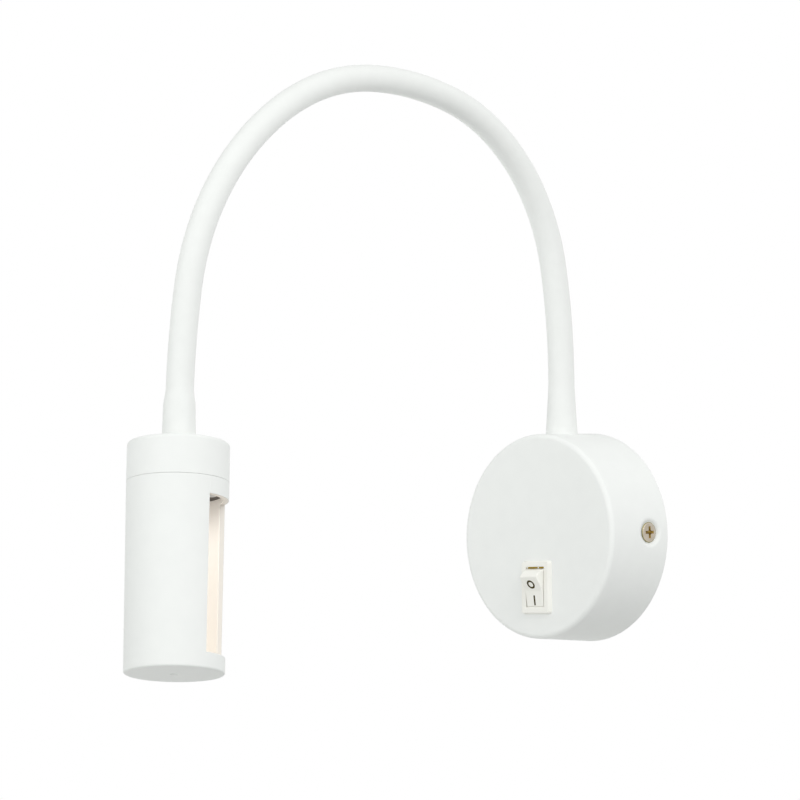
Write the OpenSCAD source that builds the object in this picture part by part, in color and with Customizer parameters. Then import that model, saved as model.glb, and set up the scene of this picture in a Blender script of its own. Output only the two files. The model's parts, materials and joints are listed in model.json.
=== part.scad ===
// Wall lamp with a gooseneck arm. A round base with a rocker switch sits on the wall, a sleeved
// flexible neck rises from it and arches forward and down, and a cylindrical head with a slotted
// shade hangs from the neck. The origin is the centre of the base's back face, on the wall.
// +Z is up, -Y faces the room and sizes are in millimetres.

/* [Base cover] */
// Diameter of the base where it meets the wall
base_d = 80; // [78:1:110]
// Depth of the base from the wall to its front face
base_depth = 30; // [29:1:44]
// Wall thickness of the cover
cover_wall = 2; // [1.4:0.1:2.6]
// Radius of the cover's front edge
front_edge_r = 1.4; // [1:0.1:4]
// Radius that the cover loses between the wall and its front
front_inset = 1; // [0:0.1:2]
// Distance of the neck's axis from the wall
neck_from_wall = 16; // [14:0.5:19]
// Depth of the flat that the neck stands on, below the top of the cover
neck_seat_depth = 0.7; // [0.6:0.1:1]
// Thickness of the cover under the neck's flat
neck_pad_t = 2.6; // [2:0.1:4]

/* [Side screws] */
// Distance of the side screws from the wall
screw_from_wall = 9.5; // [8:0.5:13]
// Height of the side screws above the middle of the base
screw_rise = 0.9; // [0:0.1:2]
// Diameter of a side screw's thread
screw_d = 4; // [3:0.1:5]
// Length of a side screw's thread
screw_l = 8; // [6:0.5:12]
// Diameter of a side screw's head
screw_head_d = 7.8; // [7:0.1:9]
// Height of a side screw's raised head
screw_head_h = 1; // [0.8:0.1:2]
// Depth of the dimple that a screw head sits in
dimple_depth = 1.2; // [1:0.1:2]
// Thickness of the cover under a dimple
dimple_floor = 2.2; // [1.2:0.1:2.5]

/* [Wall bracket] */
// Thickness of the bracket's steel
bracket_t = 2; // [1.5:0.1:2.5]
// Height of the bracket's strap
strap_h = 18; // [15:0.5:20]
// Distance between the wall screw slots, centre to centre
wall_slot_span = 54; // [52:1:56]
// Width of a wall screw slot
wall_slot_w = 4.5; // [4:0.1:5.5]
// Length of a wall screw slot
wall_slot_l = 9; // [7:0.5:10]
// Distance of the supply lead's grommet from the middle of the bracket
grommet_offset = 9; // [8:0.5:10]
// Bore of the grommet
grommet_bore = 8; // [5:0.5:9]

/* [Terminal block and driver] */
// Width of the terminal block
terminal_w = 16; // [14:0.5:17]
// Height of the terminal block
terminal_h = 14; // [12:0.5:16]
// Depth of the terminal block
terminal_depth = 10; // [8:0.5:11]
// Side of a square brass clamp
clamp_side = 5; // [4:0.1:5.4]
// Width of the LED driver's case
driver_w = 38; // [30:1:44]
// Height of the LED driver's case
driver_h = 15; // [12:0.5:16]
// Depth of the LED driver's case
driver_depth = 13; // [10:0.5:15]

/* [Switch] */
// Distance of the switch's middle above the lower edge of the base
switch_above_edge = 20.5; // [19:0.5:22]
// Width of the switch's bezel
bezel_w = 15; // [14.6:0.1:17]
// Height of the switch's bezel
bezel_h = 20.3; // [20:0.1:23]
// How far the bezel stands out of the cover
bezel_t = 1.6; // [1.2:0.1:2.2]
// Width that the bezel loses on each side up to its front
bezel_inset = 0.8; // [0.2:0.1:1.2]
// Width of the switch's body behind the bezel
switch_body_w = 13; // [12.8:0.1:13.6]
// Height of the switch's body behind the bezel
switch_body_h = 19.2; // [18.8:0.1:19.8]
// Depth of the switch's body behind the bezel
switch_body_depth = 14; // [12.5:0.5:15]
// Thickness of the switch's side walls
switch_wall = 1.85; // [1.7:0.05:2]
// Diameter of the rocker's pivot
pivot_d = 2.6; // [2:0.1:3]
// Angle that the rocker turns between its two positions
rocker_throw = 41; // [32:1:42]
// Angle of each of the rocker's two faces to its middle plane
rocker_wedge = 12.5; // [10:0.5:16]

/* [Neck] */
// Diameter of the neck's sleeve
sleeve_d = 10; // [9.4:0.1:12]
// Diameter of the wound steel core inside the sleeve
core_d = 7.4; // [6.8:0.1:7.8]
// Bore of the core
core_bore = 4.4; // [4.2:0.1:5]
// Diameter of the lead inside the core
lead_d = 3.4; // [2.6:0.1:3.6]
// Length of one flexible section of the neck
section_l = 43.5; // [36:0.5:60]
// Bend of each section, base to head, forward in degrees
bends = [10.5, 33, 31.1, 18.6, 28.4, 23.4, 24.5, 3.1]; // [0:0.1:40]
// Sideways bend of each section, base to head, in degrees
sways = [0, 1.2, -0.5, 0.4, -1.4, 0.9, 1.7, 5.3]; // [-20:0.1:20]
// Length of the stiff foot of the neck above the base
foot_l = 21; // [20:0.5:26]
// Diameter of the sleeve where it meets the base
foot_d = 12.3; // [12.2:0.1:13.5]
// Length over which the foot tapers to the sleeve's diameter
foot_taper = 19; // [17:0.5:20]
// Length of the stiff tip of the neck above the head
tip_l = 13; // [12.5:0.5:18]
// Diameter of the sleeve where it meets the head
tip_base_d = 12.1; // [11.6:0.1:13]
// Diameter of the sleeve at the upper end of the tip's collar
tip_d = 11.5; // [11.2:0.1:12]
// Length of the tip's collar
tip_collar = 14; // [13.5:0.5:15]
// Length over which the sleeve flares out to the tip's collar
tip_flare = 5.4; // [4:0.2:7]

/* [End fittings] */
// Diameter of the fittings inside the ends of the sleeve
ferrule_d = 9.6; // [9.4:0.1:10]
// Diameter of the fittings' threaded shanks
shank_d = 7.9; // [7:0.1:8.2]
// Height of the fittings inside the sleeve
ferrule_l = 9; // [7:0.5:9.5]
// Thickness of a washer
washer_t = 1; // [0.8:0.1:1.2]
// Diameter of a washer
washer_d = 14.5; // [13.5:0.5:15.5]
// Width of a nut across its flats
nut_af = 13; // [11:0.5:13.5]
// Thickness of a nut
nut_t = 4.5; // [3:0.1:4.8]

/* [Head] */
// Diameter of the head
head_d = 36.4; // [34:0.1:46]
// Height of the whole head
head_h = 82.4; // [80:0.1:110]
// Height of the cap on top of the head
cap_h = 14; // [14:0.5:18]
// Wall thickness of the cap's side
cap_wall = 2; // [1.5:0.1:2.4]
// Thickness of the cap's top
cap_top = 2.5; // [2:0.1:2.8]
// Radius of the cap's upper edge
cap_edge_r = 1.3; // [1:0.1:3]
// Gap of the seam between the cap and the shade
seam_gap = 0.3; // [0.2:0.05:0.6]
// Wall thickness of the shade
shade_wall = 2.3; // [1.8:0.1:2.7]
// Diameter that the shade loses towards its closed end
shade_draft = 0.8; // [0:0.1:1]
// Thickness of the shade's closed end
shade_floor = 2.5; // [1.5:0.1:4]
// Radius of the shade's lower edge
shade_edge_r = 0.8; // [0.4:0.1:1.4]
// Distance of the light slot's upper edge below the seam
slot_below_seam = 6.5; // [5.5:0.5:9]
// Height of the light slot
slot_h = 56; // [40:1:58]
// Width of the light slot as an angle round the head
slot_angle = 73; // [30:1:120]
// Direction that the slot faces, as an angle round the head
slot_turn = -32.5; // [-180:0.5:180]

/* [Light engine] */
// Thickness of the heat sink above the circuit board
sink_back = 2.5; // [2:0.1:2.8]
// Diameter of the circuit board
board_d = 17; // [14:0.5:17]
// Thickness of the circuit board
board_t = 1.6; // [1:0.1:1.8]
// Side of the LED's square package
led_side = 5; // [3:0.1:7]
// Thickness of the lens retainer
retainer_t = 2.8; // [1.2:0.1:3.2]
// Diameter of the light's opening in the retainer
aperture_d = 13; // [9:0.5:13.5]
// Diameter of the ring wire that holds the shade
ring_wire = 0.8; // [0.6:0.05:1]

/* [Clearances] */
// Gap round a piece that slides into its seat
slip_gap = 0.1; // [0.05:0.05:0.2]
// Gap round a piece that turns
turn_gap = 0.2; // [0.15:0.05:0.3]
// Gap round the rocker's pivot
pivot_gap = 0.05; // [0.03:0.01:0.1]
// Gap between the ends of neighbouring sleeve sections
sleeve_gap = 0.2; // [0.1:0.05:0.4]
// Gap between the ends of neighbouring core sections
core_gap = 1.8; // [1.6:0.1:2.4]

/* [Hidden] */
$fn = 96;
eps = 0.01;
cut = 1;

white = [0.94, 0.95, 0.94];
soft_white = [0.92, 0.92, 0.90];
ivory = [0.92, 0.91, 0.87];
steel = [0.70, 0.71, 0.72];
brass = [0.80, 0.66, 0.34];
dark = [0.20, 0.18, 0.17];
copper = [0.55, 0.30, 0.18];

base_r = base_d / 2;
cover_inner_r = base_r - cover_wall;
cover_top = cover_r(neck_from_wall);
seat_z = cover_top - neck_seat_depth;
neck_pad_d = washer_d + 3;
shank_hole_d = shank_d + 4 * slip_gap;

screw_r = cover_r(screw_from_wall);
ear_face = screw_r - dimple_depth - dimple_floor;
dimple_d = screw_head_d + 0.6;
dimple_mouth_d = dimple_d + 2.4;
dimple_boss_d = dimple_mouth_d + 2;
screw_hole_d = screw_d + 4 * slip_gap;
ear_w = 13;
ear_out = screw_from_wall + ear_w / 2;
bend_r = 1;
slot_reach = (wall_slot_l - wall_slot_w) / 2;

grommet_hole_d = grommet_bore + 3;
grommet_flange_d = grommet_hole_d + 3;
grommet_flange_t = 1.5;
terminal_x = terminal_w / 2 + 1;
clamp_pitch = 7.5;
clamp_out = bracket_t + 1.5;
wire_bore = 0.6 * clamp_side;
terminal_screw_d = 2.6;
terminal_screw_pitch = 7;
driver_gap = 2;
driver_up = terminal_h / 2 + driver_gap + driver_h / 2;
driver_pad_t = 1;
driver_front = base_depth - cover_wall - driver_pad_t;
driver_corner_r = 1.5;

switch_drop = base_r - switch_above_edge;
opening_w = switch_body_w - 2 * switch_wall;
opening_h = switch_body_h - 2 * switch_wall;
rocker_tilt = rocker_throw / 2;
rocker_w = opening_w - 2 * turn_gap;
rocker_r = opening_h / 2 - turn_gap;
rocker_valley = 3.1;
rocker_skirt = 1.8;
pivot_sunk = 2.3;
pivot_in = pivot_sunk - bezel_t;
pivot_l = switch_body_w - 1.2;
cavity_depth = 7;
bezel_corner_r = 1;
panel_w = switch_body_w + 2 * slip_gap;
panel_h = switch_body_h + 2 * slip_gap;
snap_reach = 0.8;
snap_l = 4;
blade_w = 4.8;
blade_t = 0.8;
blade_l = 8;
blade_pitch = 7.4;
blade_root = 3;

section_count = len(bends);
sleeve_bore = core_d + 2 * slip_gap;
ferrule_bore = ferrule_d + 2 * slip_gap;
socket_floor = 3.5;
tip_lap = 0.3;
flare_dip = 0.1;
shank_l = neck_pad_t + washer_t + nut_t + 1;
tip_shank_l = cap_top + washer_t + nut_t + 0.5;

head_r = head_d / 2;
cap_inner_r = head_r - cap_wall;
shade_inner_r = head_r - shade_wall;
shade_end_r = head_r - shade_draft / 2;
slot_top = cap_h + slot_below_seam;
shade_top = cap_h + seam_gap;
spigot_r = shade_inner_r - turn_gap;
ring_z = shade_top + turn_gap + ring_wire / 2 + 0.2;
ring_shoulder_z = ring_z - ring_wire / 2 - turn_gap;
retainer_z = ring_z + ring_wire / 2 + turn_gap;
ring_groove_r = shade_inner_r - ring_wire / 2 - turn_gap;
ring_open = 16;
lens_d = board_d - 0.2;
lens_t = 1.2;
lens_rise = 1;
led_t = 0.6;
led_dome_r = 0.7;
board_well_d = board_d + 2 * slip_gap;
board_z = retainer_z - lens_t - turn_gap - led_dome_r - led_t - board_t;
sink_z = board_z - sink_back;
post_d = 5.4;
post_at = (board_well_d / 2 + ring_groove_r) / 2;
sink_screw_d = 2.4;
sink_screw_head_d = 4;
sink_screw_head_h = 0.9;
sink_screw_grip = 3;
sink_screw_l = retainer_z + retainer_t - sink_z + sink_screw_grip;
lead_hole_d = lead_d + 4 * slip_gap;
dimple_r = 2;
floor_dimple = 0.6;

// Radius of the cover at a distance from the wall
function cover_r(out) = base_r - front_inset * out / base_depth;

// Size and direction of one section's bend
function turn_of(k) = norm([bends[k], sways[k]]);
function side_of(k) = atan2(sways[k], bends[k]);
function arc_r(k) = section_l / (turn_of(k) * PI / 180);

function move_m(v) = [[1, 0, 0, v[0]], [0, 1, 0, v[1]], [0, 0, 1, v[2]], [0, 0, 0, 1]];
function spin_z(a) = [[cos(a), -sin(a), 0, 0], [sin(a), cos(a), 0, 0], [0, 0, 1, 0], [0, 0, 0, 1]];
function spin_x(a) = [[1, 0, 0, 0], [0, cos(a), -sin(a), 0], [0, sin(a), cos(a), 0], [0, 0, 0, 1]];

// Step from the start of a section to its end: an arc that leans from +Z towards -Y
function is_straight(k) = turn_of(k) < eps;
function arc_step(k) =
    is_straight(k)
        ? move_m([0, 0, section_l])
        : spin_z(side_of(k))
            * move_m([0, -arc_r(k) * (1 - cos(turn_of(k))), arc_r(k) * sin(turn_of(k))])
            * spin_x(turn_of(k)) * spin_z(-side_of(k));

// Frame at the start of section k, counted from 0. Its Z axis runs along the neck.
function neck_frame(k) =
    k == 0
        ? move_m([0, -neck_from_wall, seat_z + foot_l])
        : neck_frame(k - 1) * arc_step(k - 1);

head_frame = neck_frame(section_count) * move_m([0, 0, tip_l]);

// Frames of the sub-assemblies. On the wall, Z points into the room and Y points up.
module on_wall() { rotate([90, 0, 0]) children(); }
module at_switch() { on_wall() translate([0, -switch_drop, base_depth]) children(); }
module at_foot() { translate([0, -neck_from_wall, seat_z]) children(); }
module at_neck_end() { multmatrix(neck_frame(section_count)) children(); }
module at_head() { multmatrix(head_frame) children(); }

// At both side screws, with Z pointing out of the cover
module at_side_screws() {
    for (side = [-1, 1])
        translate([side * screw_r, -screw_from_wall, screw_rise])
            rotate([0, side * 90, 0]) children();
}

// Flat shapes
module rounded_rect(w, h, r) {
    square([w - 2 * r, h], center = true);
    square([w, h - 2 * r], center = true);
    for (x = [-1, 1], y = [-1, 1])
        translate([x * (w / 2 - r), y * (h / 2 - r)]) circle(r = r);
}

// Half section of a cup with a rounded edge at its closed end, which is at height h
module cup_half(open_r, end_r, h, edge_r, below = 0) {
    polygon([[0, -below], [open_r, -below], [end_r, h - edge_r], [end_r - edge_r, h], [0, h]]);
    translate([end_r - edge_r, h - edge_r]) circle(r = edge_r);
}

module ring_half(inner_r, outer_r, z0, z1) {
    translate([inner_r, z0]) square([outer_r - inner_r, z1 - z0]);
}

module slot_shape(reach, w) {
    square([2 * reach, w], center = true);
    for (x = [-1, 1]) translate([x * reach, 0]) circle(d = w);
}

// Base cover: a drafted cup with a flat for the neck, a panel hole and two screw dimples
module base_cover() {
    inner_edge = max(front_edge_r - cover_wall, 0.6);
    inner_end_r = cover_r(base_depth) - cover_wall;
    color(white) difference() {
        union() {
            on_wall() rotate_extrude() difference() {
                cup_half(base_r, cover_r(base_depth), base_depth, front_edge_r);
                cup_half(cover_inner_r, inner_end_r, base_depth - cover_wall, inner_edge, cut);
            }
            at_foot() translate([0, 0, -neck_pad_t]) cylinder(d = neck_pad_d, h = neck_pad_t);
            at_side_screws() translate([0, 0, ear_face - screw_r])
                cylinder(d = dimple_boss_d, h = dimple_floor + dimple_depth - cover_wall / 2);
        }
        at_foot() cylinder(d = foot_d + 2 * slip_gap, h = 4 * neck_seat_depth);
        at_foot() translate([0, 0, -neck_pad_t - cut])
            cylinder(d = shank_hole_d, h = neck_pad_t + 2 * cut);
        at_side_screws() translate([0, 0, -dimple_depth])
            cylinder(d1 = dimple_d, d2 = dimple_mouth_d, h = dimple_depth);
        at_side_screws() cylinder(d = dimple_mouth_d, h = cut);
        at_side_screws() translate([0, 0, ear_face - screw_r - cut])
            cylinder(d = screw_hole_d, h = dimple_floor + 2 * cut);
        at_switch() translate([0, 0, -cover_wall - cut])
            linear_extrude(cover_wall + 2 * cut) square([panel_w, panel_h], center = true);
    }
}

// Raised-head screws with cross recesses, through the cover into the bracket's ears
module side_screws() {
    recess_w = 1;
    recess_l = 0.55 * screw_head_d;
    rim_h = screw_head_h / 3;
    dome_h = screw_head_h - rim_h;
    dome_r = (pow(screw_head_d / 2, 2) + pow(dome_h, 2)) / (2 * dome_h);
    color(steel) at_side_screws() translate([0, 0, -dimple_depth]) difference() {
        union() {
            translate([0, 0, -screw_l]) cylinder(d = screw_d, h = screw_l + rim_h);
            cylinder(d = screw_head_d, h = rim_h);
            intersection() {
                translate([0, 0, screw_head_h - dome_r]) sphere(r = dome_r);
                translate([0, 0, rim_h]) cylinder(d = screw_head_d, h = dome_h);
            }
        }
        for (turn = [0, 90]) rotate(turn)
            translate([-recess_l / 2, -recess_w / 2, rim_h])
                cube([recess_l, recess_w, screw_head_h]);
    }
}

// Bent steel strap with two ears, wall screw slots and a hole for the supply lead
module wall_bracket() {
    color(steel) on_wall() difference() {
        intersection() {
            union() {
                rotate([-90, 0, 0]) linear_extrude(strap_h, center = true) mirror([0, 1])
                    difference() {
                        bracket_bend(ear_face, bend_r + bracket_t, 0);
                        bracket_bend(ear_face - bracket_t, bend_r, bracket_t);
                    }
            }
            cylinder(r = cover_inner_r - 3 * turn_gap, h = base_depth);
            union() {
                translate([-base_r, -strap_h / 2, 0])
                    cube([base_d, strap_h, bracket_t + bend_r]);
                translate([0, screw_rise, screw_from_wall]) rotate([0, 90, 0])
                    cylinder(d = ear_w, h = base_d, center = true);
                translate([-base_r, screw_rise - ear_w / 2, 0])
                    cube([base_d, ear_w, screw_from_wall]);
            }
        }
        for (side = [-1, 1]) translate([side * wall_slot_span / 2, 0, -cut])
            linear_extrude(bracket_t + 2 * cut) slot_shape(slot_reach, wall_slot_w);
        translate([-grommet_offset, 0, -cut]) cylinder(d = grommet_hole_d, h = bracket_t + 2 * cut);
        translate([0, screw_rise, screw_from_wall]) rotate([0, 90, 0])
            cylinder(d = screw_d + slip_gap, h = base_d, center = true);
    }
}

// Side of the bent strap: half width, bend radius and height of the floor
module bracket_bend(half_w, r, floor_z) {
    translate([-half_w, floor_z + r]) square([2 * half_w, ear_out]);
    translate([-half_w + r, floor_z]) square([2 * (half_w - r), ear_out]);
    for (side = [-1, 1]) translate([side * (half_w - r), floor_z + r]) circle(r = r);
}

// Rubber bush that lines the bracket's lead hole
module lead_grommet() {
    outer_r = grommet_hole_d / 2 - slip_gap / 2;
    color(dark) on_wall() translate([-grommet_offset, 0, 0]) rotate_extrude() {
        ring_half(grommet_bore / 2, outer_r, 0, bracket_t + eps);
        ring_half(grommet_bore / 2, grommet_flange_d / 2, bracket_t, bracket_t + grommet_flange_t);
    }
}

// Places of the two clamps and of their screws in the terminal block
module at_clamps() {
    for (side = [-1, 1]) translate([terminal_x + side * clamp_pitch / 2, 0, clamp_out]) children();
}

module at_terminal_screws() {
    at_clamps() for (end = [-1, 1]) translate([0, end * terminal_screw_pitch / 2, 0]) children();
}

// Terminal block for the supply leads
module terminal_block() {
    color(soft_white) on_wall() difference() {
        translate([terminal_x - terminal_w / 2, -terminal_h / 2, bracket_t])
            cube([terminal_w, terminal_h, terminal_depth]);
        at_clamps() translate([-clamp_side / 2, -terminal_h / 2 - cut, 0])
            cube([clamp_side, terminal_h + 2 * cut, clamp_side]);
        at_terminal_screws() cylinder(d = terminal_screw_d + 1, h = terminal_depth);
    }
}

module terminal_clamps() {
    side = clamp_side - slip_gap;
    color(brass) on_wall() difference() {
        at_clamps() translate([-side / 2, -terminal_h / 2 + 1, 0])
            cube([side, terminal_h - 2, side]);
        at_clamps() translate([0, 0, side / 2]) rotate([90, 0, 0])
            cylinder(d = wire_bore, h = terminal_h + 2 * cut, center = true);
        at_terminal_screws() translate([0, 0, side / 2])
            cylinder(d = terminal_screw_d + slip_gap, h = side);
    }
}

module terminal_screws() {
    screw_top = terminal_depth - (clamp_out - bracket_t) - 1;
    color(steel) on_wall() at_terminal_screws() difference() {
        translate([0, 0, clamp_side - 0.8])
            cylinder(d = terminal_screw_d, h = screw_top - clamp_side + 0.8);
        translate([-terminal_screw_d, -0.25, screw_top - 0.6]) cube([2 * terminal_screw_d, 0.5, cut]);
    }
}

// LED driver in a sealed case, stuck to the inside of the cover's front
module led_driver() {
    lid_step = 0.6;
    lid_h = 3;
    color(soft_white) on_wall() translate([0, driver_up, driver_front - driver_depth]) {
        linear_extrude(driver_depth) rounded_rect(driver_w - lid_step, driver_h - lid_step,
            driver_corner_r);
        translate([0, 0, driver_depth - lid_h]) linear_extrude(lid_h)
            rounded_rect(driver_w, driver_h, driver_corner_r);
    }
}

module driver_pad() {
    margin = 2;
    color(dark) on_wall() translate([0, driver_up, driver_front])
        linear_extrude(driver_pad_t) square([driver_w - margin, driver_h - margin], center = true);
}

// Switch: a snap-in housing, two blades and a rocker on a cross pivot
module switch_housing() {
    color(ivory) at_switch() difference() {
        union() {
            bezel();
            translate([0, 0, -switch_body_depth]) linear_extrude(switch_body_depth)
                square([switch_body_w, switch_body_h], center = true);
            for (end = [0, 180]) rotate(end) snap_wedge();
        }
        translate([0, 0, -cavity_depth]) linear_extrude(cavity_depth + bezel_t + cut)
            square([opening_w, opening_h], center = true);
        translate([0, 0, -pivot_in]) rotate([0, 90, 0])
            cylinder(d = pivot_d + 2 * pivot_gap, h = pivot_l + 2 * slip_gap, center = true);
        at_blades() translate([0, 0, blade_root / 2 - switch_body_depth])
            cube([blade_w, blade_t, blade_root + eps], center = true);
    }
}

// Bezel whose four sides lean in towards its front
module bezel() {
    intersection() {
        linear_extrude(bezel_t) rounded_rect(bezel_w, bezel_h, bezel_corner_r);
        rotate([90, 0, 0]) linear_extrude(bezel_h, center = true) sloped_side(bezel_w, bezel_inset);
        rotate([90, 0, 90]) linear_extrude(bezel_w, center = true)
            sloped_side(bezel_h, bezel_inset / 2);
    }
}

module sloped_side(w, inset) {
    polygon([[-w / 2, 0], [w / 2, 0], [w / 2 - inset, bezel_t], [inset - w / 2, bezel_t]]);
}

// Wedge that clicks behind the cover, on the upper end of the body
module snap_wedge() {
    heel = -cover_wall - slip_gap;
    rotate([0, -90, 0]) linear_extrude(switch_body_w / 2, center = true)
        polygon([
            [heel, switch_body_h / 2 - eps],
            [heel, switch_body_h / 2 + snap_reach],
            [heel - snap_l, switch_body_h / 2 - eps]
        ]);
}

module at_blades() {
    for (end = [-1, 1]) translate([0, end * blade_pitch / 2, 0]) children();
}

module switch_terminals() {
    hole_d = 1.6;
    color(brass) at_switch() at_blades() difference() {
        translate([-blade_w / 2, -blade_t / 2, -switch_body_depth - blade_l])
            cube([blade_w, blade_t, blade_l + blade_root]);
        translate([0, 0, -switch_body_depth - blade_l + 2]) rotate([90, 0, 0])
            cylinder(d = hole_d, h = 2 * cut, center = true);
    }
}

// Side of the rocker: two faces that meet in a valley, ends that are arcs about the pivot
module rocker_side() {
    rise = rocker_r * tan(rocker_wedge);
    intersection() {
        circle(r = rocker_r);
        polygon([
            [-rocker_r, -rocker_skirt],
            [rocker_r, -rocker_skirt],
            [rocker_r, rocker_valley + rise],
            [0, rocker_valley],
            [-rocker_r, rocker_valley + rise]
        ]);
    }
}

// The rocker lies with its lower end pressed in
module rocker() {
    color(ivory) at_switch() translate([0, 0, -pivot_in]) rotate([rocker_tilt, 0, 0]) {
        rotate([90, 0, 90]) linear_extrude(rocker_w, center = true) rocker_side();
        rotate([0, 90, 0]) cylinder(d = pivot_d, h = pivot_l, center = true);
    }
}

// End fitting of the neck: a socket for the core above a hollow threaded shank
module ferrule(below) {
    difference() {
        union() {
            cylinder(d = ferrule_d, h = ferrule_l);
            translate([0, 0, -below]) cylinder(d = shank_d, h = below + eps);
        }
        translate([0, 0, socket_floor]) cylinder(d = core_d + slip_gap, h = ferrule_l);
        translate([0, 0, -below - cut]) cylinder(d = lead_hole_d, h = below + ferrule_l);
    }
}

module washer() {
    difference() {
        cylinder(d = washer_d, h = washer_t);
        translate([0, 0, -cut]) cylinder(d = shank_d + 2 * slip_gap, h = washer_t + 2 * cut);
    }
}

// Hexagon nut with chamfered corners
module nut() {
    corner_d = nut_af / cos(30);
    difference() {
        intersection() {
            cylinder(d = corner_d, h = nut_t, $fn = 6);
            cylinder(d1 = nut_af, d2 = nut_af + 2 * nut_t, h = nut_t);
            cylinder(d2 = nut_af, d1 = nut_af + 2 * nut_t, h = nut_t);
        }
        translate([0, 0, -cut]) cylinder(d = shank_d + slip_gap, h = nut_t + 2 * cut);
    }
}

module lower_ferrule() { color(steel) at_foot() ferrule(shank_l); }
module lower_washer() { color(steel) at_foot() translate([0, 0, -neck_pad_t - washer_t]) washer(); }
module lower_nut() {
    color(brass) at_foot() translate([0, 0, -neck_pad_t - washer_t - nut_t]) nut();
}

// Frame of the head turned over, so that the upper fitting points up the neck
module at_tip() { at_head() rotate([180, 0, 0]) children(); }
module upper_ferrule() { color(steel) at_tip() ferrule(tip_shank_l); }
module upper_washer() { color(steel) at_tip() translate([0, 0, -cap_top - washer_t]) washer(); }
module upper_nut() { color(brass) at_tip() translate([0, 0, -cap_top - washer_t - nut_t]) nut(); }

// A flat shape swept along the arc of section k, from the frame in which it starts
module sweep_arc(k, start_gap, end_gap) {
    if (is_straight(k)) {
        translate([0, 0, start_gap]) linear_extrude(section_l - start_gap - end_gap) children();
    } else {
        per_mm = turn_of(k) / section_l;
        translate([0, -arc_r(k), 0]) rotate([90, 0, 90]) rotate(start_gap * per_mm)
            rotate_extrude(angle = turn_of(k) - (start_gap + end_gap) * per_mm, $fn = 360)
                translate([arc_r(k), 0]) children();
    }
}

// One bent section of the neck, with half a gap where it meets the next one
module along_section(k, gap) {
    start_gap = k == 0 ? 0 : gap / 2;
    end_gap = k == section_count - 1 ? 0 : gap / 2;
    multmatrix(neck_frame(k)) rotate(side_of(k)) sweep_arc(k, start_gap, end_gap) children();
}

module tube_shape(outer_d, bore) {
    difference() {
        circle(d = outer_d, $fn = 48);
        if (bore > 0) circle(d = bore, $fn = 48);
    }
}

// Straight runs of a round piece into the foot and the tip of the neck. The tip's run is a hair
// thicker than the bent section that it laps.
module foot_run(outer_d, bore, from) {
    at_foot() rotate_extrude() ring_half(bore / 2, outer_d / 2, from, foot_l);
}

module tip_run(outer_d, bore, to) {
    at_neck_end() rotate_extrude()
        ring_half(max(bore / 2 - eps, 0), outer_d / 2 + eps, -tip_lap, tip_l - to);
}

// Wound steel core, made as a plain tube in sections
module neck_core(k) {
    color(steel) {
        along_section(k, core_gap) tube_shape(core_d, core_bore);
        if (k == 0) foot_run(core_d, core_bore, socket_floor);
        if (k == section_count - 1) tip_run(core_d, core_bore, socket_floor);
    }
}

// Lead that runs inside the core, from the base to the circuit board
module neck_lead(k) {
    color(copper) {
        along_section(k, core_gap) tube_shape(lead_d, 0);
        if (k == 0) foot_run(lead_d, 0, -shank_l - 2);
        if (k == section_count - 1) tip_run(lead_d, 0, -board_z + slip_gap);
    }
}

// Smooth rubber sleeve, flared over the fittings at both ends of the neck
module neck_sleeve(k) {
    color(white) {
        along_section(k, sleeve_gap) tube_shape(sleeve_d, sleeve_bore);
        if (k == 0) sleeve_foot();
        if (k == section_count - 1) sleeve_tip();
    }
}

module sleeve_foot() {
    bore_step = ferrule_l + slip_gap;
    at_foot() rotate_extrude() polygon([
        [ferrule_bore / 2, 0],
        [foot_d / 2, 0],
        [sleeve_d / 2, foot_taper],
        [sleeve_d / 2, foot_l],
        [sleeve_bore / 2, foot_l],
        [sleeve_bore / 2, bore_step + 2],
        [ferrule_bore / 2, bore_step]
    ]);
}

// The flare begins under the skin of the bent section, and comes out of it without a step
module sleeve_tip() {
    bore_step = tip_l - ferrule_l - slip_gap;
    collar_z = tip_l - tip_collar;
    mid_wall_r = (sleeve_bore + sleeve_d) / 4;
    at_neck_end() rotate_extrude() polygon([
        [mid_wall_r, collar_z - tip_flare],
        [sleeve_d / 2 - flare_dip, collar_z - tip_flare],
        [tip_d / 2, collar_z],
        [tip_base_d / 2, tip_l],
        [ferrule_bore / 2, tip_l],
        [ferrule_bore / 2, bore_step],
        [sleeve_bore / 2 - eps, bore_step - 2],
        [sleeve_bore / 2 - eps, -tip_lap],
        [mid_wall_r, -tip_lap]
    ]);
}

// Places of the screws that hold the light engine in the cap
module at_posts() {
    for (turn = [0, 180]) rotate(slot_turn + turn) translate([post_at, 0, 0]) children();
}

// Cap of the head: a cup with its open end down, and two posts inside
module head_cap() {
    color(white) at_head() difference() {
        union() {
            rotate_extrude() difference() {
                translate([0, cap_h]) mirror([0, 1]) cup_half(head_r, head_r, cap_h, cap_edge_r);
                ring_half(0, cap_inner_r, cap_top, cap_h + cut);
            }
            at_posts() translate([0, 0, cap_top - eps]) cylinder(d = post_d, h = sink_z - cap_top + eps);
        }
        translate([0, 0, -cut]) cylinder(d = shank_hole_d, h = cap_top + 2 * cut);
        at_posts() translate([0, 0, cap_top]) cylinder(d = sink_screw_d + slip_gap, h = cap_h);
    }
}

// Aluminium heat sink: fills the cap's mouth, carries the circuit board and guides the shade
module heat_sink() {
    color(steel) at_head() difference() {
        rotate_extrude() {
            ring_half(0, cap_inner_r - slip_gap, sink_z, cap_h);
            ring_half(0, spigot_r, cap_h - eps, ring_shoulder_z);
            ring_half(0, ring_groove_r, ring_shoulder_z - eps, retainer_z);
        }
        translate([0, 0, board_z]) cylinder(d = board_well_d, h = cap_h);
        translate([0, 0, sink_z - cut]) cylinder(d = lead_hole_d, h = sink_back + 2 * cut);
        at_posts() translate([0, 0, sink_z - cut]) cylinder(d = sink_screw_d + 2 * slip_gap, h = cap_h);
    }
}

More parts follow.
